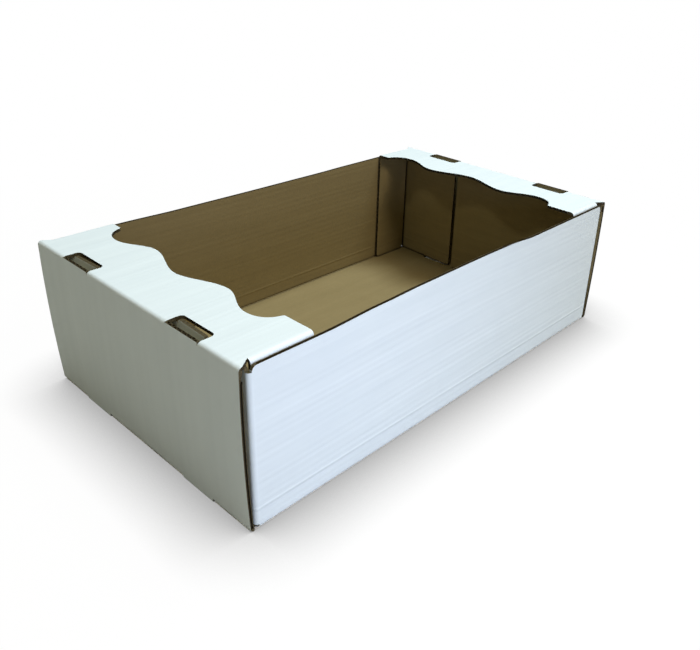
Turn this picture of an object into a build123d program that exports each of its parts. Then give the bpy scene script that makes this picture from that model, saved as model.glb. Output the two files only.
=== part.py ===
from build123d import *
import math
import os

# A shipping and display tray folded from one corrugated sheet.
# X runs along the tray, Y across it and Z up. The origin is the middle of the underside.
LENGTH = 500.0
WIDTH = 295.0
HEIGHT = 146.0

# The board, and the round that every crease takes on its outside.
BOARD = 3.0
FOLD_R = 3.5
FOLD_INNER_R = FOLD_R - BOARD

# Side walls: they stop a little below the covers' top face, so the covers' folds show above them.
SIDE_TOP = HEIGHT - 3.0

# End walls: outermost, with raw upright edges. They lean out towards the top and bow half way up.
END_FLARE = 2.5
END_BOW = 1.5
END_HALF_WIDTH = WIDTH / 2 - 0.3

# Corner flaps: folded from the side walls' ends, behind the end walls. The front one reaches past the
# middle, the back one is short, and both lean in a few degrees from square.
CORNER_GAP = 1.6
FRONT_FLAP_END_Y = 49.0
FRONT_FLAP_LEAN = 2.0
BACK_FLAP_END_Y = 56.0
BACK_FLAP_LEAN = 2.5
FLAP_BOTTOM = BOARD + 1.0
FLAP_TOP = SIDE_TOP - 0.6
FLAP_CORNER_R = 4.0

# Slots at the top and bottom crease of each end wall, and the tabs that stand in the top ones.
SLOT_NEAR = 58.0
SLOT_FAR = 100.0
FLOOR_SLOT_DEPTH = 13.5
TOP_SLOT_DEPTH = 16.0
SLOT_CORNER_R = 4.0
SLOT_PLAY = 0.4
TAB_INSET = 3.0
TAB_TOP = HEIGHT - 0.6
TAB_CORNER_R = 2.0

# End covers: a level flange with a waved inner edge, and a tuck flap down each side wall.
# The wave is cut a little nearer the back, and the left cover reaches further in than the right one.
LEFT_DEPTH = 69.5
RIGHT_DEPTH = 64.0
CREST_SETBACK = 3.5
HOLLOW_SETBACK = 18.0
WAVE_MIDDLE_Y = 8.0
TIP_Y = 119.0
OUTER_HOLLOW_Y = 95.0
CREST_Y = 53.0
TIP_R = 1.5
TUCK_PLAY = 0.5
TUCK_START = 12.5
TUCK_BOTTOM = BOARD + 0.3
TUCK_CORNER_R = 4.0
EAR_DEPTH = 3.0
COVER_HALF_WIDTH = WIDTH / 2 - 0.3

# How far each cover has sprung up from level, in degrees.
LEFT_LIFT = 0.5
RIGHT_LIFT = 0.5

# Places that follow from the sizes above. Everything is built at the left end, at -X.
END_X = -LENGTH / 2
FOLD_X = END_X + FOLD_R
TOP_X = END_X - END_FLARE
TOP_FOLD_X = TOP_X + FOLD_R
FLAT_HALF_LENGTH = LENGTH / 2 - BOARD - CORNER_GAP - FOLD_R
SIDE_Y = WIDTH / 2
TUCK_Y = SIDE_Y - BOARD - TUCK_PLAY
CORNER_CREASE_TOP = FLAP_TOP - FLAP_CORNER_R
SIDE_CORNER_R = SIDE_TOP - CORNER_CREASE_TOP
CREASE_X = TOP_FOLD_X + FOLD_R * math.cos(math.radians(135))
CREASE_Z = HEIGHT - FOLD_R + FOLD_R * math.sin(math.radians(135))
LEFT_CREASE = Axis((CREASE_X, 0, CREASE_Z), (0, -1, 0))
RIGHT_CREASE = Axis((-CREASE_X, 0, CREASE_Z), (0, 1, 0))


def arc_point(centre, radius, degrees):
    """A point on a circle in a sketch plane."""
    turn = math.radians(degrees)
    return (centre[0] + radius * math.cos(turn), centre[1] + radius * math.sin(turn))


def fold_arc(centre, radius, start, end):
    """A crease's round between two angles."""
    middle = (start + end) / 2
    return ThreePointArc(*[arc_point(centre, radius, a) for a in (start, middle, end)])


def across(profile, half_width):
    """A profile in X and Z, as a panel that is centred on Y."""
    return extrude(Plane.XZ * profile, half_width, both=True)


def along(profile, half_length):
    """A profile in Y and Z, as a panel that is centred on X."""
    return extrude(Plane.YZ * profile, half_length, both=True)


def block(x_range, y_range, z_range):
    """A plain block between pairs of limits."""
    low = (x_range[0], y_range[0], z_range[0])
    size = [r[1] - r[0] for r in (x_range, y_range, z_range)]
    return Pos(*low) * Box(*size, align=(Align.MIN, Align.MIN, Align.MIN))


def end_wall():
    """The left end wall, from its round at the floor to the crease that the cover hangs on."""
    low = (FOLD_X, FOLD_R)
    high = (TOP_FOLD_X, HEIGHT - FOLD_R)
    bow_x = (END_X + TOP_X) / 2 - END_BOW
    outline = [
        fold_arc(low, FOLD_R, 270, 180),
        ThreePointArc((END_X, FOLD_R), (bow_x, HEIGHT / 2), (TOP_X, HEIGHT - FOLD_R)),
        fold_arc(high, FOLD_R, 180, 135),
        Line(arc_point(high, FOLD_R, 135), arc_point(high, FOLD_INNER_R, 135)),
        fold_arc(high, FOLD_INNER_R, 135, 180),
        ThreePointArc(
            (TOP_X + BOARD, HEIGHT - FOLD_R),
            (bow_x + BOARD, HEIGHT / 2),
            (END_X + BOARD, FOLD_R),
        ),
        fold_arc(low, FOLD_INNER_R, 180, 270),
        Line((FOLD_X, BOARD), (FOLD_X, 0)),
    ]
    return across(make_face(outline), END_HALF_WIDTH)


def end_wall_lips():
    """The end wall's raw edges inside its slots, which run on past the creases."""
    lips = []
    for side in (-1, 1):
        near, far = SLOT_NEAR + SLOT_PLAY, SLOT_FAR - SLOT_PLAY
        y_range = sorted((side * near, side * far))
        lips.append(block((TOP_X, TOP_X + BOARD), y_range, (HEIGHT - FOLD_R, HEIGHT - 0.2)))
        lips.append(block((END_X, END_X + BOARD), y_range, (0, FOLD_R)))
    return lips


def slot_cutters(x_start, x_end, z_range):
    """Round-cornered cutters for the two slots of one crease."""
    depth = x_end - x_start
    width = SLOT_FAR - SLOT_NEAR
    plan = RectangleRounded(2 * depth, width, SLOT_CORNER_R)
    plan = plan & Pos(depth / 2, 0) * Rectangle(depth, width)
    cutters = []
    for side in (-1, 1):
        middle = side * (SLOT_NEAR + SLOT_FAR) / 2
        cutters.append(Pos(x_start, middle, z_range[0]) * extrude(plan, z_range[1] - z_range[0]))
    return cutters


def side_wall(side):
    """A long wall with its round at the floor, and rounded upper corners."""
    centre = (SIDE_Y - FOLD_R, FOLD_R)
    outline = [
        fold_arc(centre, FOLD_R, 270, 360),
        Polyline(
            (SIDE_Y, FOLD_R),
            (SIDE_Y, SIDE_TOP),
            (SIDE_Y - BOARD, SIDE_TOP),
            (SIDE_Y - BOARD, FOLD_R),
        ),
        fold_arc(centre, FOLD_INNER_R, 360, 270),
        Line((SIDE_Y - FOLD_R, BOARD), (SIDE_Y - FOLD_R, 0)),
    ]
    wall = along(make_face(outline), FLAT_HALF_LENGTH)
    top_ends = wall.edges().filter_by(Axis.Y).filter_by(lambda e: e.center().Z > HEIGHT / 2)
    wall = fillet(top_ends, SIDE_CORNER_R)
    return wall if side > 0 else mirror(wall, Plane.XZ)


def corner_flap(length, lean):
    """A front left corner flap: its upright crease, its panel and the tab that stands in the slot."""
    height = FLAP_TOP - FLAP_BOTTOM
    thickness = (-FOLD_R, -FOLD_R + BOARD)
    crease_height = CORNER_CREASE_TOP - FLAP_BOTTOM
    section = Pos(-FOLD_R + BOARD / 2, crease_height / 2) * Rectangle(BOARD, crease_height)
    crease = revolve(Plane.XZ * section, Axis.Z, 90 + lean).rotate(Axis.Z, -lean)
    panel = block(thickness, (0, length), (0, height))
    corners = panel.edges().filter_by(Axis.X)
    corners = corners.filter_by(lambda e: e.center().Y > 1 or e.center().Z > 1)
    panel = fillet(corners, FLAP_CORNER_R)
    tab_start, tab_end = [SIDE_Y - FOLD_R - y for y in (SLOT_FAR - TAB_INSET, SLOT_NEAR + TAB_INSET)]
    tab = block(thickness, (tab_start, tab_end), (height - FLAP_CORNER_R, TAB_TOP - FLAP_BOTTOM))
    tab_corners = tab.edges().filter_by(Axis.X).filter_by(lambda e: e.center().Z > height)
    tab = fillet(tab_corners, TAB_CORNER_R)
    flap = (panel + tab).rotate(Axis.Z, -lean) + crease
    return Pos(-FLAT_HALF_LENGTH, -SIDE_Y + FOLD_R, FLAP_BOTTOM) * flap


def tray_body():
    """Floor, two side walls, four corner flaps and two end walls, folded from one sheet."""
    floor_x = LENGTH / 2 - FOLD_R
    floor_y = SIDE_Y - FOLD_R
    floor = block((-floor_x, floor_x), (-floor_y, floor_y), (0, BOARD))
    wall = end_wall()
    for lip in end_wall_lips():
        wall += lip
    front_flap = corner_flap(floor_y + FRONT_FLAP_END_Y, FRONT_FLAP_LEAN)
    back_flap = corner_flap(floor_y - BACK_FLAP_END_Y, BACK_FLAP_LEAN)
    left_end = wall + front_flap + mirror(back_flap, Plane.XZ)
    body = floor + side_wall(1) + side_wall(-1) + left_end + mirror(left_end, Plane.YZ)
    for cutter in slot_cutters(END_X + BOARD, END_X + FLOOR_SLOT_DEPTH, (-1, BOARD + 0.5)):
        body -= cutter
        body -= mirror(cutter, Plane.YZ)
    return body


def wave_cutter(depth):
    """What the waved edge, two crests between three hollows, takes out of a straight flange."""
    crest, hollow = depth - CREST_SETBACK, depth - HOLLOW_SETBACK
    half = [(depth, -TIP_Y), (hollow, -OUTER_HOLLOW_Y), (crest, -CREST_Y)]
    points = half + [(hollow, 0)] + [(x, -y) for x, y in reversed(half)]
    tangents = [(-1, 0.25)] + [(0, 1)] * 5 + [(1, 0.25)]
    outside = depth + 5
    closing = Polyline((depth, TIP_Y), (outside, TIP_Y), (outside, -TIP_Y), (depth, -TIP_Y))
    plan = make_face([Spline(*points, tangents=tangents), closing])
    return Pos(TOP_X, WAVE_MIDDLE_Y, HEIGHT - BOARD - 1) * extrude(plan, BOARD + 2)


def cover_strip():
    """The flange beside its crease, mitred where it meets the end wall, with clipped ears."""
    centre = (TOP_FOLD_X, HEIGHT - FOLD_R)
    inner_x = TOP_X + TUCK_START
    outline = [
        fold_arc(centre, FOLD_R, 135, 90),
        Polyline(
            (TOP_FOLD_X, HEIGHT),
            (inner_x, HEIGHT),
            (inner_x, HEIGHT - BOARD),
            (TOP_FOLD_X, HEIGHT - BOARD),
        ),
        fold_arc(centre, FOLD_INNER_R, 90, 135),
        Line(arc_point(centre, FOLD_INNER_R, 135), arc_point(centre, FOLD_R, 135)),
    ]
    strip = across(make_face(outline), COVER_HALF_WIDTH)
    ear_x = TOP_X + EAR_DEPTH
    clip = make_face(
        Polyline(
            (ear_x, COVER_HALF_WIDTH),
            (inner_x, TUCK_Y - FOLD_R),
            (inner_x + 1, TUCK_Y - FOLD_R),
            (inner_x + 1, COVER_HALF_WIDTH + 1),
            (ear_x, COVER_HALF_WIDTH + 1),
            close=True,
        )
    )
    clip = Pos(0, 0, HEIGHT / 2) * extrude(clip, HEIGHT)
    return strip - clip - mirror(clip, Plane.XZ)


def cover_channel(depth):
    """The flange and both tuck flaps as one folded channel."""
    centre = (TUCK_Y - FOLD_R, HEIGHT - FOLD_R)
    half = [
        Line((0, HEIGHT), (centre[0], HEIGHT)),
        fold_arc(centre, FOLD_R, 90, 0),
        Polyline(
            (TUCK_Y, centre[1]), (TUCK_Y, TUCK_BOTTOM), (TUCK_Y - BOARD, TUCK_BOTTOM),
            (TUCK_Y - BOARD, centre[1]),
        ),
        fold_arc(centre, FOLD_INNER_R, 0, 90),
        Polyline((centre[0], HEIGHT - BOARD), (0, HEIGHT - BOARD), (0, HEIGHT)),
    ]
    panel = extrude(Plane.YZ * make_face(half), depth - TUCK_START)
    foot_corners = panel.edges().filter_by(Axis.Y).filter_by(lambda e: e.center().Z < BOARD + 1)
    panel = fillet(foot_corners, TUCK_CORNER_R)
    return Pos(TOP_X + TUCK_START, 0, 0) * (panel + mirror(panel, Plane.XZ))


def level_cover(depth):
    """The left cover pressed down level."""
    cover = cover_strip() + cover_channel(depth) - wave_cutter(depth)
    for cutter in slot_cutters(TOP_X - 1, TOP_X + TOP_SLOT_DEPTH, (HEIGHT - 2 * FOLD_R, HEIGHT + 1)):
        cover -= cutter
    tip_x = TOP_X + depth
    edges = cover.edges().filter_by(Axis.Z).filter_by(lambda e: abs(e.center().X - tip_x) < 0.1)
    tips = edges.filter_by(lambda e: abs(abs(e.center().Y - WAVE_MIDDLE_Y) - TIP_Y) < 0.1)
    return fillet(tips, TIP_R)


def left_cover():
    return level_cover(LEFT_DEPTH).rotate(LEFT_CREASE, LEFT_LIFT)


def right_cover():
    return mirror(level_cover(RIGHT_DEPTH), Plane.YZ).rotate(RIGHT_CREASE, RIGHT_LIFT)


NODES = {"tray_body": tray_body, "left_cover": left_cover, "right_cover": right_cover}

os.makedirs("parts", exist_ok=True)
for name, make in NODES.items():
    solid = make()
    print(name, "solids", len(solid.solids()), "volume mm3", round(solid.volume))
    export_step(solid, f"parts/{name}.step")
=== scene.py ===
# %% [markdown]
# # A cardboard tray box
# The real tray is one sheet of corrugated board, white on the outside and brown inside. It is die
# cut, creased and folded. The CAD part already has its panels, folds and slots, so Blender adds
# what makes them look like board: the flutes that show in every cut edge, the two papers, side
# walls that are drawn in a little at their tops, and the light.

# %% The CAD frame
import math

import bpy
from mathutils import Matrix, Vector


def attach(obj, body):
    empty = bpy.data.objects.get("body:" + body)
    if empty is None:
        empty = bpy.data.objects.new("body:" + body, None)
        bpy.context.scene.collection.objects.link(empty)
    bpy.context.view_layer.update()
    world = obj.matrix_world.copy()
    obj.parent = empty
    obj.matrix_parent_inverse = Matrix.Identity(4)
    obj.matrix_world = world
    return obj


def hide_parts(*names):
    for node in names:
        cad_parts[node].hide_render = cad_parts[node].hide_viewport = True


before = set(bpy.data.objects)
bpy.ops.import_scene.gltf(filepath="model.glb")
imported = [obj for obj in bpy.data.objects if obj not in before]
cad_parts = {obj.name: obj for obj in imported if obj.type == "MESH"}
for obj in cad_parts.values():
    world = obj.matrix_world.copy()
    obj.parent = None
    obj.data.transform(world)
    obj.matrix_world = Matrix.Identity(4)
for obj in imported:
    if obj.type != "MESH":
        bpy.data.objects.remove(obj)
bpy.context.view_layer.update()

# %% [markdown]
# ## Camera
# The photograph was taken by hand, from in front of the near left corner, about as high as the
# tray is long. Its place and its small tilt were worked out from the tray's own corners. The tray
# is not in the middle of the picture, so the lens is shifted a little, as on a view camera, and
# the walls keep their perspective.

# %% Camera
CAMERA_PLACE = (-0.4951, -0.4945, 0.4115)
CAMERA_TURN = (64.09, -2.53, -47.83)
SENSOR_WIDTH, FOCAL_LENGTH = 36, 37.83
SHIFT_X, SHIFT_Y = -0.07, -0.055
NEAREST = 0.01

bpy.ops.object.select_all(action="DESELECT")
bpy.ops.object.camera_add(
    location=CAMERA_PLACE,
    rotation=[math.radians(angle) for angle in CAMERA_TURN],
)
camera = bpy.context.active_object
camera.data.sensor_width = SENSOR_WIDTH
camera.data.lens = FOCAL_LENGTH
camera.data.shift_x = SHIFT_X
camera.data.shift_y = SHIFT_Y
camera.data.clip_start = NEAREST
bpy.context.scene.camera = camera
bpy.context.scene.view_settings.view_transform = "Standard"
print("camera", [round(v, 3) for v in camera.location])


# %% [markdown]
# ## Floor and light
# The tray stands on plain white. One cool lamp hangs above it, to the right, so the top and the
# inside floor are brightest and the right cover shades its own end. A low bluish lamp stands near
# the near corner: it lights the front wall, most at the near end, and misses the left end, which
# stays grey. A high lamp in front evens out the front wall, a low warm one at the left lifts the
# left end a little, and a small one high at the left throws the waved patch of light on the inside
# of the right end. The world adds a low, warm, even light. The background is white only for the
# camera: a white world would light the tray too much.

# %% World
WARM = (1.0, 0.90, 0.62, 1)


def add_world(light, seen):
    """An even light all round, and another strength for what the camera sees behind it all."""
    world = bpy.data.worlds.new("studio")
    world.use_nodes = True
    nodes, links = world.node_tree.nodes, world.node_tree.links
    nodes.clear()
    lit = nodes.new("ShaderNodeBackground")
    lit.inputs["Color"].default_value = WARM
    lit.inputs["Strength"].default_value = light
    shown = nodes.new("ShaderNodeBackground")
    shown.inputs["Strength"].default_value = seen
    path = nodes.new("ShaderNodeLightPath")
    mix = nodes.new("ShaderNodeMixShader")
    output = nodes.new("ShaderNodeOutputWorld")
    links.new(path.outputs["Is Camera Ray"], mix.inputs[0])
    links.new(lit.outputs[0], mix.inputs[1])
    links.new(shown.outputs[0], mix.inputs[2])
    links.new(mix.outputs[0], output.inputs["Surface"])
    bpy.context.scene.world = world


add_world(light=0.16, seen=1.0)


# %% Lamps
TRAY_MIDDLE = Vector((0, 0, 0.07))


def add_softbox(name, place, size, power, colour):
    """A square area lamp at a place, turned to the middle of the tray."""
    bpy.ops.object.light_add(type="AREA", location=place)
    lamp = bpy.context.active_object
    lamp.name = name
    lamp.data.size = size
    lamp.data.energy = power
    lamp.data.color = colour
    aim = TRAY_MIDDLE - Vector(place)
    lamp.rotation_euler = aim.to_track_quat("-Z", "Y").to_euler()
    print(name, "is", round(aim.length, 2), "m away")


add_softbox("overhead_softbox", (0.74, -0.06, 2.1), 0.7, 37, (0.89, 0.98, 1.0))
add_softbox("front_softbox", (-0.22, -0.70, 0.17), 0.3, 2.0, (0.66, 0.74, 1.0))
add_softbox("high_fill", (0.15, -1.50, 1.60), 0.6, 14.5, (1.0, 0.87, 0.67))
add_softbox("left_fill", (-1.30, -0.10, 0.15), 0.5, 0.46, (1.0, 0.87, 0.64))
add_softbox("left_spark", (-1.25, 0.00, 2.10), 0.15, 5.0, (1.0, 0.96, 0.74))

# %% [markdown]
# ## Small helpers for shader nodes
# Materials and node groups below are all wired from the same few pieces: a value into a socket, a
# sum, a noise.

# %% Node group helpers
def new_group(name, inputs, outputs):
    """An empty node group with named sockets. Inputs are (name, type, value)."""
    group = bpy.data.node_groups.new(name, "ShaderNodeTree")
    sockets = group.interface
    for label, kind, value in inputs:
        socket = sockets.new_socket(label, in_out="INPUT", socket_type="NodeSocket" + kind)
        socket.default_value = value
    for label, kind in outputs:
        sockets.new_socket(label, in_out="OUTPUT", socket_type="NodeSocket" + kind)
    return group, group.nodes.new("NodeGroupInput"), group.nodes.new("NodeGroupOutput")


def wire(tree, source, target):
    """Feeds a socket from another socket, or sets it to a plain value."""
    if hasattr(source, "is_output"):
        tree.links.new(source, target)
    else:
        target.default_value = source


def calculate(tree, operation, *values):
    """A math node on sockets or numbers."""
    node = tree.nodes.new("ShaderNodeMath")
    node.operation = operation
    for value, socket in zip(values, node.inputs):
        wire(tree, value, socket)
    return node.outputs[0]


def stretch(tree, vector, scale):
    """A vector, scaled along each axis."""
    node = tree.nodes.new("ShaderNodeVectorMath")
    node.operation = "MULTIPLY"
    wire(tree, vector, node.inputs[0])
    wire(tree, scale, node.inputs[1])
    return node.outputs[0]


def noise(tree, vector, scale, detail=2.0, roughness=0.5):
    """A noise between 0 and 1."""
    node = tree.nodes.new("ShaderNodeTexNoise")
    wire(tree, vector, node.inputs["Vector"])
    node.inputs["Scale"].default_value = scale
    node.inputs["Detail"].default_value = detail
    node.inputs["Roughness"].default_value = roughness
    return node.outputs["Fac"]


def remap(tree, value, low, high, new_low=0.0, new_high=1.0):
    """A value moved from one range to another, and kept inside it."""
    node = tree.nodes.new("ShaderNodeMapRange")
    node.interpolation_type = "SMOOTHSTEP"
    for number, socket in zip((value, low, high, new_low, new_high), node.inputs):
        wire(tree, number, socket)
    return node.outputs[0]


def mix_colours(tree, factor, first, second):
    """One colour fading into another."""
    node = tree.nodes.new("ShaderNodeMix")
    node.data_type = "RGBA"
    wire(tree, factor, node.inputs[0])
    wire(tree, first, node.inputs[6])
    wire(tree, second, node.inputs[7])
    return node.outputs[2]


# %% [markdown]
# The floor is one wide plate. What the camera sees of it near the tray is nearly all a white
# emission with a painted soft shadow: an Ambient Occlusion node greys it close to the tray, so the
# tray sits in a soft shadow all round. A small share is a diffuse white, lit and shaded by the
# lamps. Further out that share fades away, so no lamp's edge or horizon shows. Under the tray the
# floor is diffuse only, since the floor slots let one see it. For every other ray it is a dull
# grey, which keeps down the light that it throws back at the walls.

# %% Floor
FLOOR_SIZE, FLOOR_PARTS, FLOOR_DROP = 12.0, 4, 0.0004
FADE_START, FADE_END = 0.35, 0.80
SOFT_SHARE = 0.97
SOFT_REACH, SOFT_SAMPLES = 0.066, 16
SOFT_OCCLUSION, SOFT_WHITE = 0.45, 0.42
HALF_FOOT = {"X": 0.249, "Y": 0.146}
DIFFUSE_WHITE = (0.93, 0.93, 0.93, 1)
DULL_GREY = (0.42, 0.41, 0.36, 1)

bpy.ops.mesh.primitive_grid_add(
    x_subdivisions=FLOOR_PARTS,
    y_subdivisions=FLOOR_PARTS,
    size=FLOOR_SIZE,
    location=(0, 0, -FLOOR_DROP),
)
floor = bpy.context.active_object
floor.name = "white_floor"
floor_paint = bpy.data.materials.new("white_floor")
floor_paint.use_nodes = True
tree = floor_paint.node_tree
nodes, links = tree.nodes, tree.links
nodes.clear()
place = nodes.new("ShaderNodeTexCoord")
away = nodes.new("ShaderNodeVectorMath")
away.operation = "LENGTH"
links.new(place.outputs["Object"], away.inputs[0])
fade = nodes.new("ShaderNodeMapRange")
fade.interpolation_type = "SMOOTHSTEP"
fade.inputs["From Min"].default_value = FADE_START
fade.inputs["From Max"].default_value = FADE_END
fade.inputs["To Min"].default_value = SOFT_SHARE
links.new(away.outputs["Value"], fade.inputs["Value"])
apart = nodes.new("ShaderNodeSeparateXYZ")
links.new(place.outputs["Object"], apart.inputs[0])
outside = []
for axis, half in HALF_FOOT.items():
    reach = calculate(tree, "ABSOLUTE", apart.outputs[axis])
    outside.append(calculate(tree, "GREATER_THAN", reach, half))
open_floor = calculate(tree, "MAXIMUM", *outside)
soft_share = calculate(tree, "MULTIPLY", fade.outputs["Result"], open_floor)
lit_white = nodes.new("ShaderNodeBsdfDiffuse")
lit_white.inputs["Color"].default_value = DIFFUSE_WHITE
# Painted shadow: the Ambient Occlusion greys the camera's white emission near the tray.
nearby = nodes.new("ShaderNodeAmbientOcclusion")
nearby.samples = SOFT_SAMPLES
nearby.inputs["Distance"].default_value = SOFT_REACH
painted_shadow = nodes.new("ShaderNodeMapRange")
painted_shadow.inputs["From Min"].default_value = SOFT_OCCLUSION
painted_shadow.inputs["To Min"].default_value = SOFT_WHITE
links.new(nearby.outputs["AO"], painted_shadow.inputs["Value"])
painted_shadow_white = nodes.new("ShaderNodeEmission")
links.new(painted_shadow.outputs["Result"], painted_shadow_white.inputs["Strength"])
shown = nodes.new("ShaderNodeMixShader")
links.new(soft_share, shown.inputs[0])
links.new(lit_white.outputs[0], shown.inputs[1])
links.new(painted_shadow_white.outputs[0], shown.inputs[2])
to_light = nodes.new("ShaderNodeBsdfDiffuse")
to_light.inputs["Color"].default_value = DULL_GREY
path = nodes.new("ShaderNodeLightPath")
mix = nodes.new("ShaderNodeMixShader")
output = nodes.new("ShaderNodeOutputMaterial")
links.new(path.outputs["Is Camera Ray"], mix.inputs[0])
links.new(to_light.outputs[0], mix.inputs[1])
links.new(shown.outputs[0], mix.inputs[2])
links.new(mix.outputs[0], output.inputs["Surface"])
floor.data.materials.append(floor_paint)
print("floor", FLOOR_SIZE, "m wide, soft shadow within", SOFT_REACH, "m")


# %% [markdown]
# ## The two papers
# Corrugated board shows its flutes through its outer paper as soft ridges, about 6 mm apart.
# Starch pulls the paper down between the flute tips, more in one place than in another. Both
# papers need this, so it is a node group: a sine across the flutes, pushed about and made weaker
# and stronger by two slow noises, over a third that swells in broad bands. A second group holds
# the paper's own grain. A third raises one line that comes and goes along the foot of the upright
# panels.

# %% Flute ridges
FLUTE_PITCH = 0.0063
SLOW_ALONG = 0.07
DRIFT_SCALE, DRIFT_REACH = 45, 0.004
DEPTH_SCALE, BAND_SCALE = 60, 80
WAVE_WEIGHT, BAND_WEIGHT = 0.7, 1.6


def make_ridge_group():
    """Soft ridges over the flutes. Across points across the flutes, Along with them."""
    group, given, result = new_group(
        "flute_ridges",
        [
            ("Position", "Vector", (0, 0, 0)),
            ("Across", "Vector", (0, 1, 0)),
            ("Along", "Vector", (1, 0, 0)),
        ],
        [("Height", "Float"), ("Band", "Float")],
    )
    parts = []
    for direction in ("Across", "Along"):
        dot = group.nodes.new("ShaderNodeVectorMath")
        dot.operation = "DOT_PRODUCT"
        wire(group, given.outputs["Position"], dot.inputs[0])
        wire(group, given.outputs[direction], dot.inputs[1])
        parts.append(dot.outputs["Value"])
    across, along = parts
    sheet = group.nodes.new("ShaderNodeCombineXYZ")
    wire(group, across, sheet.inputs["X"])
    wire(group, calculate(group, "MULTIPLY", along, SLOW_ALONG), sheet.inputs["Y"])
    pushed = noise(group, sheet.outputs[0], DRIFT_SCALE, 1.0)
    drift = calculate(group, "MULTIPLY", pushed, DRIFT_REACH)
    drifted = calculate(group, "ADD", across, drift)
    turns = calculate(group, "MULTIPLY", drifted, 2 * math.pi / FLUTE_PITCH)
    wave = remap(group, calculate(group, "SINE", turns), -1.0, 1.0)
    depth = remap(group, noise(group, sheet.outputs[0], DEPTH_SCALE), 0.35, 0.65, 0.1, 1.0)
    band = noise(group, sheet.outputs[0], BAND_SCALE)
    broad = calculate(group, "MULTIPLY", band, BAND_WEIGHT)
    deep = calculate(group, "MULTIPLY", depth, WAVE_WEIGHT)
    height = calculate(group, "MULTIPLY_ADD", wave, deep, broad)
    wire(group, height, result.inputs["Height"])
    wire(group, band, result.inputs["Band"])
    return group


# %% Paper grain
CLOUD_SCALE, TOOTH_SCALE = 28, 1600
FIBRE_STRETCH = (260, 900, 900)
FIBRE_WEIGHT, TOOTH_WEIGHT = 0.6, 0.4


def make_grain_group():
    """Paper grain: cloudy tone, short fibres and a fine tooth."""
    group, given, result = new_group(
        "paper_grain",
        [("Position", "Vector", (0, 0, 0))],
        [("Cloud", "Float"), ("Fibre", "Float"), ("Height", "Float")],
    )
    place = given.outputs["Position"]
    cloud = noise(group, place, CLOUD_SCALE, 4.0, 0.6)
    fibre = noise(group, stretch(group, place, FIBRE_STRETCH), 1.0, 3.0, 0.65)
    tooth = noise(group, place, TOOTH_SCALE)
    raised = calculate(group, "MULTIPLY", fibre, FIBRE_WEIGHT)
    fine = calculate(group, "MULTIPLY", tooth, TOOTH_WEIGHT)
    wire(group, cloud, result.inputs["Cloud"])
    wire(group, fibre, result.inputs["Fibre"])
    wire(group, calculate(group, "ADD", raised, fine), result.inputs["Height"])
    return group


# %% Crush line
CRUSH_LEVEL, CRUSH_WIDTH = 0.0185, 0.0022
BREAK_STRETCH = (14, 14, 0)


def make_crush_group():
    """One raised line at a height, where the board was nipped beside its crease."""
    group, given, result = new_group(
        "crush_line",
        [
            ("Position", "Vector", (0, 0, 0)),
            ("Level", "Float", CRUSH_LEVEL),
            ("Width", "Float", CRUSH_WIDTH),
        ],
        [("Height", "Float")],
    )
    place = given.outputs["Position"]
    split = group.nodes.new("ShaderNodeSeparateXYZ")
    wire(group, place, split.inputs[0])
    away = calculate(group, "SUBTRACT", split.outputs["Z"], given.outputs["Level"])
    bell = remap(group, calculate(group, "ABSOLUTE", away), given.outputs["Width"], 0.0)
    come_and_go = noise(group, stretch(group, place, BREAK_STRETCH), 1.0)
    broken = remap(group, come_and_go, 0.3, 0.55, 0.3)
    wire(group, calculate(group, "MULTIPLY", bell, broken), result.inputs["Height"])
    return group


# %% Make the groups
RIDGES = make_ridge_group()
GRAIN = make_grain_group()
CRUSH = make_crush_group()
print("ridges every", FLUTE_PITCH * 1000, "mm")


# %% [markdown]
# ## Papers and raw edges as materials
# The same paper lies on panels that face different ways, so its material is made once for flat
# panels, with ridges that follow each other across the tray, and once for upright ones, with
# ridges one above the other. The end walls are pulled smooth between their creases, so they have a
# set of their own with lower ridges.

# %% Paper materials
PAPER_TOOTH, PAPER_TOOTH_STRENGTH = 0.00006, 0.5
PAPER_SHINE, ROUGHNESS_SPREAD = 0.3, 0.05
# Painted shade in the creases: the Ambient Occlusion's reach and samples, and the occlusion where
# it is darkest and where it stops.
CREASE_REACH, CREASE_SAMPLES = 0.005, 8
CREASE_DARK, CREASE_CLEAR = 0.45, 0.85
CRUSH_WEIGHT = 2.6


def use_group(tree, group, place):
    """A node group in a material, fed with the place on the surface."""
    node = tree.nodes.new("ShaderNodeGroup")
    node.node_tree = group
    wire(tree, place, node.inputs["Position"])
    return node


def paint_crease_shade(tree, colour, crease):
    """Painted shade: a colour that an Ambient Occlusion node darkens where two panels meet."""
    corner = tree.nodes.new("ShaderNodeAmbientOcclusion")
    corner.samples = CREASE_SAMPLES
    corner.inputs["Distance"].default_value = CREASE_REACH
    crease_shade = remap(tree, corner.outputs["AO"], CREASE_DARK, CREASE_CLEAR, 1.0, 0.0)
    return mix_colours(tree, crease_shade, colour, (*crease, 1))


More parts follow.
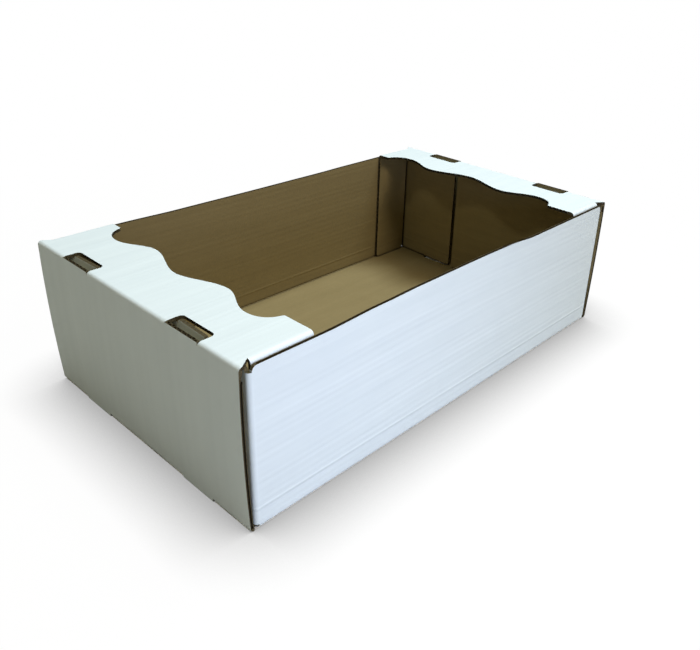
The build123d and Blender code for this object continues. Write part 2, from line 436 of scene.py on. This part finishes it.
def new_paper(name, tones, roughness, facing, ridge_height, shares):
    """A paper over flutes: two tones of one colour and a third as painted shade in its creases,
    with bumps.
    """
    light, dark, crease = tones
    across, along = facing
    paper = bpy.data.materials.new(name)
    paper.use_nodes = True
    tree = paper.node_tree
    shader = tree.nodes["Principled BSDF"]
    place = tree.nodes.new("ShaderNodeTexCoord").outputs["Object"]
    ridges = use_group(tree, RIDGES, place)
    ridges.inputs["Across"].default_value = across
    ridges.inputs["Along"].default_value = along
    grain = use_group(tree, GRAIN, place)
    band, cloud, fibre = (
        calculate(tree, "MULTIPLY", pattern, share)
        for pattern, share in zip(
            (ridges.outputs["Band"], grain.outputs["Cloud"], grain.outputs["Fibre"]), shares
        )
    )
    tone = calculate(tree, "ADD", calculate(tree, "ADD", band, cloud), fibre)
    colour = mix_colours(tree, tone, (*light, 1), (*dark, 1))
    if crease:
        colour = paint_crease_shade(tree, colour, crease)
    wire(tree, colour, shader.inputs["Base Color"])
    low, high = roughness - ROUGHNESS_SPREAD, roughness + ROUGHNESS_SPREAD
    rough = remap(tree, grain.outputs["Cloud"], 0.3, 0.7, low, high)
    wire(tree, rough, shader.inputs["Roughness"])
    shader.inputs["Specular IOR Level"].default_value = PAPER_SHINE
    tooth = tree.nodes.new("ShaderNodeBump")
    tooth.inputs["Strength"].default_value = PAPER_TOOTH_STRENGTH
    tooth.inputs["Distance"].default_value = PAPER_TOOTH
    wire(tree, grain.outputs["Height"], tooth.inputs["Height"])
    height = ridges.outputs["Height"]
    if facing is UPRIGHT:
        crush = use_group(tree, CRUSH, place)
        raised = calculate(tree, "MULTIPLY", crush.outputs["Height"], CRUSH_WEIGHT)
        height = calculate(tree, "ADD", height, raised)
    swell = tree.nodes.new("ShaderNodeBump")
    swell.inputs["Distance"].default_value = ridge_height
    wire(tree, height, swell.inputs["Height"])
    wire(tree, tooth.outputs["Normal"], swell.inputs["Normal"])
    wire(tree, swell.outputs["Normal"], shader.inputs["Normal"])
    return paper


# %% Make the papers
WHITE = ((0.80, 0.90, 0.98), (0.66, 0.755, 0.835), None)
# The third kraft tone is painted shade for the creases; the white paper has none.
KRAFT = ((0.32, 0.257, 0.128), (0.205, 0.160, 0.073), (0.05, 0.036, 0.015))
WHITE_ROUGHNESS, KRAFT_ROUGHNESS = 0.55, 0.75
WHITE_SHARES, KRAFT_SHARES = (0.6, 0.2, 0.1), (0.45, 0.25, 0.4)
KRAFT_RIDGES = 0.5
FLAT = ((0, 1, 0), (1, 0, 0))
UPRIGHT = ((0, 0, 1), (1, 0.7, 0))
PANELS = {"flat": (FLAT, 0.00016), "end": (FLAT, 0.00007), "upright": (UPRIGHT, 0.00016)}

PAPERS = {}
for name, (facing, ridge_height) in PANELS.items():
    PAPERS["white_" + name] = new_paper(
        "white_liner_" + name, WHITE, WHITE_ROUGHNESS, facing, ridge_height, WHITE_SHARES
    )
    PAPERS["kraft_" + name] = new_paper(
        "kraft_liner_" + name,
        KRAFT,
        KRAFT_ROUGHNESS,
        facing,
        ridge_height * KRAFT_RIDGES,
        KRAFT_SHARES,
    )


# %% [markdown]
# A cut edge shows the ends of the papers and the fluting medium between them. It is rougher than
# the faces and darker, partly from the open board and partly as painted shade for the shadow that
# the edges lie in. The inside of a flute gets hardly any light, so it is given a still darker
# tone, painted shade.

# %% Edge materials
EDGE_SHINE = 0.2
EDGE_TOOTH, EDGE_TOOTH_STRENGTH = 0.0002, 0.8
EDGE_ROUGHNESS = (0.85, 0.95)


def new_edge(name, light, dark):
    """Raw board, mottled by its fibres."""
    edge = bpy.data.materials.new(name)
    edge.use_nodes = True
    tree = edge.node_tree
    shader = tree.nodes["Principled BSDF"]
    place = tree.nodes.new("ShaderNodeTexCoord").outputs["Object"]
    grain = use_group(tree, GRAIN, place)
    tone = remap(tree, grain.outputs["Fibre"], 0.35, 0.65)
    wire(tree, mix_colours(tree, tone, (*light, 1), (*dark, 1)), shader.inputs["Base Color"])
    rough = remap(tree, grain.outputs["Cloud"], 0.3, 0.7, *EDGE_ROUGHNESS)
    wire(tree, rough, shader.inputs["Roughness"])
    shader.inputs["Specular IOR Level"].default_value = EDGE_SHINE
    bump = tree.nodes.new("ShaderNodeBump")
    bump.inputs["Strength"].default_value = EDGE_TOOTH_STRENGTH
    bump.inputs["Distance"].default_value = EDGE_TOOTH
    wire(tree, grain.outputs["Height"], bump.inputs["Height"])
    wire(tree, bump.outputs["Normal"], shader.inputs["Normal"])
    return edge


# Both edge tones hold painted shade: the raw edges in part, the flute insides wholly.
PAPERS["raw_edge"] = new_edge("raw_board_edge", (0.095, 0.080, 0.045), (0.05, 0.04, 0.022))
PAPERS["flute"] = new_edge("inside_of_flutes", (0.05, 0.038, 0.02), (0.03, 0.022, 0.012))
SLOT_ORDER = list(PAPERS)
print("materials", SLOT_ORDER)


# %% [markdown]
# ## A working copy of each part
# A CAD part's mesh stays as it is, so the flutes are cut into a copy. The copy arrives as loose
# triangles: its corners are merged, flat triangles are joined into whole faces, and old shading
# normals are cleared.

# %% Copy a CAD part
MERGE_DISTANCE = 0.000002
FLAT_ANGLE = math.radians(0.2)


def copy_part(node):
    """A merged, clean copy of a CAD node, ready to be cut."""
    bpy.ops.object.select_all(action="DESELECT")
    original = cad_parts[node]
    board = bpy.data.objects.new(node + "_board", original.data.copy())
    bpy.context.scene.collection.objects.link(board)
    board.select_set(True)
    bpy.context.view_layer.objects.active = board
    if board.data.has_custom_normals:
        bpy.ops.mesh.customdata_custom_splitnormals_clear()
    board.data.materials.clear()
    for name in SLOT_ORDER:
        board.data.materials.append(PAPERS[name])
    bpy.ops.object.mode_set(mode="EDIT")
    bpy.ops.mesh.select_all(action="SELECT")
    bpy.ops.mesh.remove_doubles(threshold=MERGE_DISTANCE)
    bpy.ops.mesh.mark_sharp(clear=True)
    bpy.ops.mesh.dissolve_limited(angle_limit=FLAT_ANGLE)
    bpy.ops.object.mode_set(mode="OBJECT")
    print(board.name, len(board.data.polygons), "faces")
    return board


BOARDS = {node: copy_part(node) for node in ("tray_body", "left_cover", "right_cover")}


# %% [markdown]
# ## Flutes in the cut edges
# The board's middle is a waved paper between two flat ones. A cut across it shows a zigzag with a
# row of small openings, alternately against the outer and the inner paper. Each opening is cut
# with a tapered rod: a cube whose lower side is drawn together. A pair of rods, one turned over,
# is repeated with an Array modifier.

# %% A comb of rods
MM = 0.001
ROD_TOP, ROD_FOOT = 4.6 * MM, 0.6 * MM
ROD_LOW, ROD_HIGH = -0.9 * MM, 1.2 * MM


def only(piece):
    """Makes one object the selected and active one."""
    bpy.ops.object.select_all(action="DESELECT")
    piece.select_set(True)
    bpy.context.view_layer.objects.active = piece


def select_where(piece, test):
    """Selects the vertices that pass a test on their place, in edit mode."""
    bpy.ops.object.mode_set(mode="EDIT")
    bpy.ops.mesh.select_mode(type="VERT")
    bpy.ops.mesh.select_all(action="DESELECT")
    bpy.ops.object.mode_set(mode="OBJECT")
    for vertex in piece.data.vertices:
        vertex.select = test(vertex.co)
    bpy.ops.object.mode_set(mode="EDIT")


def apply_place(piece):
    """Moves the object's place and turn into its mesh."""
    only(piece)
    bpy.ops.object.transform_apply(location=True, rotation=True, scale=True)


def add_rod(length):
    """A rod along X whose wide side is up against the outer paper."""
    bpy.ops.mesh.primitive_cube_add(
        size=1,
        location=(0, 0, (ROD_HIGH + ROD_LOW) / 2),
        scale=(length, ROD_TOP, ROD_HIGH - ROD_LOW),
    )
    rod = bpy.context.active_object
    apply_place(rod)
    select_where(rod, lambda place: place.z < 0)
    bpy.ops.transform.resize(value=(1, ROD_FOOT / ROD_TOP, 1))
    bpy.ops.object.mode_set(mode="OBJECT")
    return rod


def add_comb(pairs, length, middle, along, row):
    """Pairs of rods, centred on a point. They lie along one direction and repeat in another."""
    first = add_rod(length)
    first.location.y = -FLUTE_PITCH / 4
    second = add_rod(length)
    second.rotation_euler.x = math.pi
    second.location.y = FLUTE_PITCH / 4
    for rod in (first, second):
        apply_place(rod)
    only(first)
    second.select_set(True)
    bpy.ops.object.join()
    comb = first
    comb.location.y = -(pairs - 1) * FLUTE_PITCH / 2
    apply_place(comb)
    repeat = comb.modifiers.new("repeat", "ARRAY")
    repeat.count = pairs
    repeat.use_relative_offset = False
    repeat.use_constant_offset = True
    repeat.constant_offset_displace = (0, FLUTE_PITCH, 0)
    bpy.ops.object.modifier_apply(modifier=repeat.name)
    along, row = Vector(along).normalized(), Vector(row).normalized()
    through = along.cross(row)
    turn = Matrix((along, row, through)).transposed().to_4x4()
    comb.matrix_world = Matrix.Translation(Vector(middle) * MM) @ turn
    apply_place(comb)
    return comb


# %% [markdown]
# Where the cut runs along the flutes instead, it opens one flute lengthwise: a groove between the
# papers. It is what makes the dark line down each corner and along the side walls' tops. The end
# walls lean out and bow, so their groove cutter is sliced and every ring of it is moved out with
# the wall.

# %% Grooves
LEAN_STEPS = 12
RING_REACH = 0.5 * MM


def add_groove(size, middle):
    """A plain bar in mm, the space between the two papers at a cut edge."""
    bpy.ops.mesh.primitive_cube_add(size=1, location=Vector(middle) * MM, scale=Vector(size) * MM)
    groove = bpy.context.active_object
    apply_place(groove)
    return groove


def lean_and_bow(groove, end, height):
    """Bends an upright bar outward along X as the end wall stands, in steps."""
    select_where(groove, lambda place: True)
    for step in range(1, LEAN_STEPS):
        bpy.ops.mesh.select_all(action="SELECT")
        bpy.ops.mesh.bisect(plane_co=(0, 0, height * step / LEAN_STEPS * MM), plane_no=(0, 0, 1))
    for step in range(LEAN_STEPS + 1):
        share = step / LEAN_STEPS
        outward = END_FLARE * share + END_BOW * (1 - (2 * share - 1) ** 2)
        select_where(groove, lambda place: abs(place.z - height * share * MM) < RING_REACH)
        bpy.ops.transform.translate(value=(end * outward * MM, 0, 0))
    bpy.ops.object.mode_set(mode="OBJECT")


# %% [markdown]
# All the rods and grooves for one part are joined into one cutter, and one Boolean takes them out
# of the board. The cutter's own dark material passes to the faces that it leaves.

# %% Cut a board
def join_cutters(cutters, name):
    """One cutter with the dark inside material and outward faces."""
    bpy.ops.object.select_all(action="DESELECT")
    for cutter in cutters:
        cutter.select_set(True)
    bpy.context.view_layer.objects.active = cutters[0]
    bpy.ops.object.join()
    cutter = cutters[0]
    cutter.name = name
    cutter.data.materials.clear()
    cutter.data.materials.append(PAPERS["flute"])
    bpy.ops.object.mode_set(mode="EDIT")
    bpy.ops.mesh.select_all(action="SELECT")
    bpy.ops.mesh.normals_make_consistent(inside=False)
    bpy.ops.object.mode_set(mode="OBJECT")
    return cutter


def carve(board, cutters):
    """Takes the cutters out of a board."""
    cutter = join_cutters(cutters, board.name + "_cutter")
    only(board)
    cut = board.modifiers.new("flutes", "BOOLEAN")
    cut.operation = "DIFFERENCE"
    cut.solver = "EXACT"
    cut.material_mode = "TRANSFER"
    cut.object = cutter
    bpy.ops.object.modifier_apply(modifier=cut.name)
    bpy.data.objects.remove(cutter)
    print(board.name, "carved,", len(board.data.polygons), "faces")


# %% [markdown]
# The places below follow the part's own sizes in mm. The two ends mirror each other, so each list
# is made for one side at a time. The covers stand half a degree above level, and their cutters
# turn with them.

# %% Places
HALF_LENGTH, TOP_HALF_LENGTH, HEIGHT, BOARD = 250.0, 252.5, 146.0, 3.0
SIDE_TOP = 143.0
END_FLARE, END_BOW = 2.5, 1.5
SLOT_MIDDLE, FLOOR_SLOT_DEPTH, TOP_SLOT_DEPTH = 79.0, 13.5, 16.0
COVER_DEPTH = {-1: 69.5, 1: 64.0}
COVER_LIFT = math.radians(0.5)
CREASE = (251.475, 144.975)
FLAP_PIVOT = (241.9, 144.0, 73.2)
FLAPS = [(-1, 193.0, 2.0), (1, 88.0, 2.5)]

# %% Sizes of the cutters
WAVE_PAIRS, PANEL_PAIRS, LIP_PAIRS, SLOT_PAIRS = 43, 20, 6, 5
WAVE_ROD, ROD = 31 * MM, 10 * MM
WAVE_MIDDLE, BEHIND_EDGE = 11, 3
TUCK_PLACE = (142.5, 72.0)
FLAP_OUTWARD = 2.0
CORNER_GROOVE, CORNER_Y = (1.9, 3.0, 138), 147.2
TOP_GROOVE, TOP_Y = (474, 1.9, 2.6), 146
ACROSS, LENGTHWAYS, UPWARD = (0, 1, 0), (1, 0, 0), (0, 0, 1)


def lift(cutter, end):
    """Turns a cutter about an end's crease, as the cover stands."""
    crease = Vector((end * CREASE[0], 0, CREASE[1])) * MM
    turn = Matrix.Rotation(end * COVER_LIFT, 4, "Y")
    cutter.matrix_world = Matrix.Translation(crease) @ turn @ Matrix.Translation(-crease)
    apply_place(cutter)
    return cutter


def cover_cutters(end):
    """The waved edge, the two slots and the two tuck flaps of one end cover."""
    tip = end * (TOP_HALF_LENGTH - COVER_DEPTH[end])
    inward = (-end, 0, 0)
    mid_z = HEIGHT - BOARD / 2
    wave = (tip + end * WAVE_MIDDLE, 0, mid_z)
    cutters = [add_comb(WAVE_PAIRS, WAVE_ROD, wave, inward, ACROSS)]
    tuck_y, tuck_z = TUCK_PLACE
    for side in (-1, 1):
        slot_x = end * (TOP_HALF_LENGTH - TOP_SLOT_DEPTH - BEHIND_EDGE)
        slot = (slot_x, side * SLOT_MIDDLE, mid_z)
        cutters.append(add_comb(SLOT_PAIRS, ROD, slot, inward, ACROSS))
        edge = (tip + end * BEHIND_EDGE, side * tuck_y, tuck_z)
        cutters.append(add_comb(PANEL_PAIRS, ROD, edge, inward, UPWARD))
    return [lift(cutter, end) for cutter in cutters]


def flap_cutters(end):
    """The free upright edges of one end's two corner flaps."""
    cutters = []
    for side, length, lean in FLAPS:
        lean = math.radians(lean)
        direction = Vector((-end * math.sin(lean), -side * math.cos(lean), 0))
        outward = Vector((end * math.cos(lean), -side * math.sin(lean), 0))
        pivot = Vector((end * FLAP_PIVOT[0], side * FLAP_PIVOT[1], FLAP_PIVOT[2]))
        middle = pivot + direction * (length - BEHIND_EDGE) + outward * FLAP_OUTWARD
        cutters.append(add_comb(PANEL_PAIRS, ROD, middle, direction, UPWARD))
    return cutters


def end_cutters(end):
    """The slot lips, the floor slots and the raw upright edges of one end."""
    foot = end * (HALF_LENGTH - BOARD / 2)
    top = end * (TOP_HALF_LENGTH - BOARD / 2)
    cutters = []
    for side in (-1, 1):
        for x, z in ((foot, 2), (top, HEIGHT - 3)):
            lip = (x, side * SLOT_MIDDLE, z)
            cutters.append(add_comb(LIP_PAIRS, ROD, lip, UPWARD, ACROSS))
        slot_x = end * (HALF_LENGTH - FLOOR_SLOT_DEPTH - BEHIND_EDGE)
        floor_slot = (slot_x, side * SLOT_MIDDLE, BOARD / 2)
        cutters.append(add_comb(SLOT_PAIRS, ROD, floor_slot, LENGTHWAYS, ACROSS))
        groove = add_groove(CORNER_GROOVE, (foot, side * CORNER_Y, HEIGHT / 2 - 1))
        lean_and_bow(groove, end, HEIGHT - 2)
        cutters.append(groove)
    return cutters


def side_cutters():
    """The grooves along the tops of the side walls."""
    return [add_groove(TOP_GROOVE, (0, side * TOP_Y, SIDE_TOP)) for side in (-1, 1)]


# %% Carve the boards
carve(BOARDS["left_cover"], cover_cutters(-1))
carve(BOARDS["right_cover"], cover_cutters(1))
tray_cutters = side_cutters()
for end in (-1, 1):
    tray_cutters += flap_cutters(end) + end_cutters(end)
carve(BOARDS["tray_body"], tray_cutters)


# %% [markdown]
# ## Which paper is on which face
# The sheet's outside is white everywhere and its inside is brown, so a face's place and direction
# tell which paper it has. By symmetry only one quarter of the tray is thought about: a face at the
# left or in front is mirrored to the right and the back first. The limits are places in mm just
# beside the folds, and shares of a face's direction along one axis.

# %% Sort the faces
LEVEL, INWARD, TILTED, STEEP = 0.05, 0.2, 0.3, 0.5
SQUARE_CUT = 0.03
FLOOR_Z, FLOOR_END = 3.45, 246
END_INSIDE, TAB_INSIDE, SIDE_OUTSIDE = 246.8, 236.6, 147
COVER_Z, COVER_FOLD_Z, TUCK_TOP_Z = 141, 142.4, 142.6
COVER_FOLD_X, COVER_FOLD_Y = 246.5, 139.9
EAR_X, EAR_Y = 239, 137
FLAT_FACE, FOLD_FACE, OUTWARD = 0.7, 0.35, 0.1


def mirrored(polygon):
    """The face's middle in mm and its direction, as if it were in the right back quarter."""
    x, y, z = polygon.center * 1000
    nx, ny, nz = polygon.normal
    return abs(x), abs(y), z, math.copysign(1, x) * nx, math.copysign(1, y) * ny, nz


def tray_paper(polygon):
    """The paper on a face of the floor, walls or corner flaps."""
    x, y, z, nx, ny, nz = mirrored(polygon)
    if z < FLOOR_Z and nz < -LEVEL and (x < FLOOR_END or nx > -INWARD):
        return "white_flat"
    if z < FLOOR_Z and nz > LEVEL:
        return "kraft_flat"
    if x > END_INSIDE:
        if nx > STEEP:
            return "white_end"
        return "kraft_end" if nx < -STEEP else "raw_edge"
    if y > SIDE_OUTSIDE and ny > STEEP:
        return "white_upright"
    if nx > STEEP and TAB_INSIDE < x and abs(nz) < TILTED:
        return "white_upright"
    if abs(nz) < TILTED and (ny < -TILTED or nx < -TILTED) and x < FLOOR_END:
        return "kraft_upright"
    return "raw_edge"


def cover_paper(polygon):
    """The paper on a face of an end cover. The cut ends of its ears lie in shade, so they get the
    dark flute tone as painted shade.
    """
    x, y, z, nx, ny, nz = mirrored(polygon)
    cut = abs(nz) < SQUARE_CUT
    # Painted shade: the ears' cut ends take the dark flute tone.
    if z > COVER_Z and y > EAR_Y and x > EAR_X and cut:
        return "flute"
    if x > COVER_FOLD_X and z > COVER_Z and (nx > OUTWARD or nz > STEEP) and abs(ny) < TILTED:
        return "white_flat"
    if z > COVER_Z and abs(nz) > FLAT_FACE:
        return "white_flat" if nz > 0 else "kraft_flat"
    if y > COVER_FOLD_Y and abs(ny) > FOLD_FACE and z > COVER_FOLD_Z:
        if cut:
            return "raw_edge"
        return "white_upright" if nz > 0 else "kraft_upright"
    if z < TUCK_TOP_Z and abs(ny) > FLAT_FACE:
        return "white_upright" if ny > 0 else "kraft_upright"
    return "raw_edge"


def lay_papers(board, rule):
    """Gives every face that is not inside a flute its paper."""
    flute = SLOT_ORDER.index("flute")
    for polygon in board.data.polygons:
        if polygon.material_index != flute:
            polygon.material_index = SLOT_ORDER.index(rule(polygon))


lay_papers(BOARDS["tray_body"], tray_paper)
for node in ("left_cover", "right_cover"):
    lay_papers(BOARDS[node], cover_paper)


# %% [markdown]
# ## Soft side walls
# A long wall of board has nothing to hold its free top between the two covers, and the real ones
# are drawn in by a few millimetres there. Each wall is sliced into a grid. A vertex group then
# says how much every vertex takes part, all of it at the top and nothing at the floor, and a
# Displace modifier moves the group along Y.

# %% Draw the side walls in
WALL_REACH = 176.0
SLICE_STEP = 8.0
WALL_COLUMNS = range(-22, 23)
WALL_LEVELS = (16, 32, 48, 64, 80, 96, 112, 128)
WALL_INSIDE, WALL_FOOT = 144.3, 3.6
CURL = 1.4
FRONT_CURVE = [(-110, 0.62), (-60, 0.92), (20, 1.0), (72, 0.88), (106, 0.05)]
BACK_CURVE = [(-110, 0.85), (-20, 1.0), (70, 0.85)]
DRAWN_IN = {
    -1: (4.5, [(-WALL_REACH, 0.0), *FRONT_CURVE, (WALL_REACH, 0.0)]),
    1: (3.2, [(-WALL_REACH, 0.0), *BACK_CURVE, (WALL_REACH, 0.0)]),
}


def select_wall(board, side):
    """Selects the faces of one side wall that lie between the covers."""
    bpy.ops.object.mode_set(mode="EDIT")
    bpy.ops.mesh.select_mode(type="FACE")
    bpy.ops.mesh.select_all(action="DESELECT")
    bpy.ops.object.mode_set(mode="OBJECT")
    for polygon in board.data.polygons:
        x, y, z = polygon.center / MM
        polygon.select = side * y > WALL_INSIDE and z > WALL_FOOT and abs(x) < WALL_REACH
    bpy.ops.object.mode_set(mode="EDIT")


def slice_wall(board, side):
    """Cuts one side wall into a grid."""
    only(board)
    for column in WALL_COLUMNS:
        select_wall(board, side)
        bpy.ops.mesh.bisect(plane_co=(column * SLICE_STEP * MM, 0, 0), plane_no=(1, 0, 0))
    for z in WALL_LEVELS:
        select_wall(board, side)
        bpy.ops.mesh.bisect(plane_co=(0, 0, z * MM), plane_no=(0, 0, 1))
    bpy.ops.object.mode_set(mode="OBJECT")


def share_at(points, x):
    """A smooth curve through points (place, share)."""
    for (start, first), (end, last) in zip(points, points[1:]):
        if start <= x <= end:
            step = (x - start) / (end - start)
            return first + (last - first) * step * step * (3 - 2 * step)
    return 0.0


def draw_in(board, side):
    """Moves one side wall's top in."""
    depth, points = DRAWN_IN[side]
    slice_wall(board, side)
    group = board.vertex_groups.new(name="drawn_in")
    for vertex in board.data.vertices:
        x, y, z = vertex.co / MM
        share = share_at(points, x) * (max(z, 0) / SIDE_TOP) ** CURL
        if side * y > WALL_INSIDE and z > WALL_FOOT and share > 0:
            group.add([vertex.index], share, "REPLACE")
    move = board.modifiers.new("draw_in", "DISPLACE")
    move.direction = "Y"
    move.mid_level = 0
    move.strength = -side * depth * MM
    move.vertex_group = group.name
    only(board)
    bpy.ops.object.modifier_apply(modifier=move.name)
    bpy.ops.object.vertex_group_remove(all=True)
    print(board.name, "wall", side, "drawn in by", depth, "mm,", len(board.data.polygons), "faces")


for side in (-1, 1):
    draw_in(BOARDS["tray_body"], side)


# %% [markdown]
# ## Shading
# The folds are smooth and the cut edges sharp. Large flat faces next to a round fold would shade
# unevenly, so weighted normals let the big faces decide.

# %% Finish a board
SHARP_ANGLE = math.radians(35)


def finish_board(node, body):
    """Shading and its place in the frame."""
    board = BOARDS[node]
    only(board)
    bpy.ops.object.shade_smooth_by_angle(angle=SHARP_ANGLE)
    smoothing = board.modifiers.new("weighted_normals", "WEIGHTED_NORMAL")
    smoothing.keep_sharp = True
    bpy.ops.object.modifier_apply(modifier=smoothing.name)
    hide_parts(node)
    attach(board, body)
    print(board.name, len(board.data.polygons), "faces")


finish_board("tray_body", "tray")
finish_board("left_cover", "left_end_cover")
finish_board("right_cover", "right_end_cover")
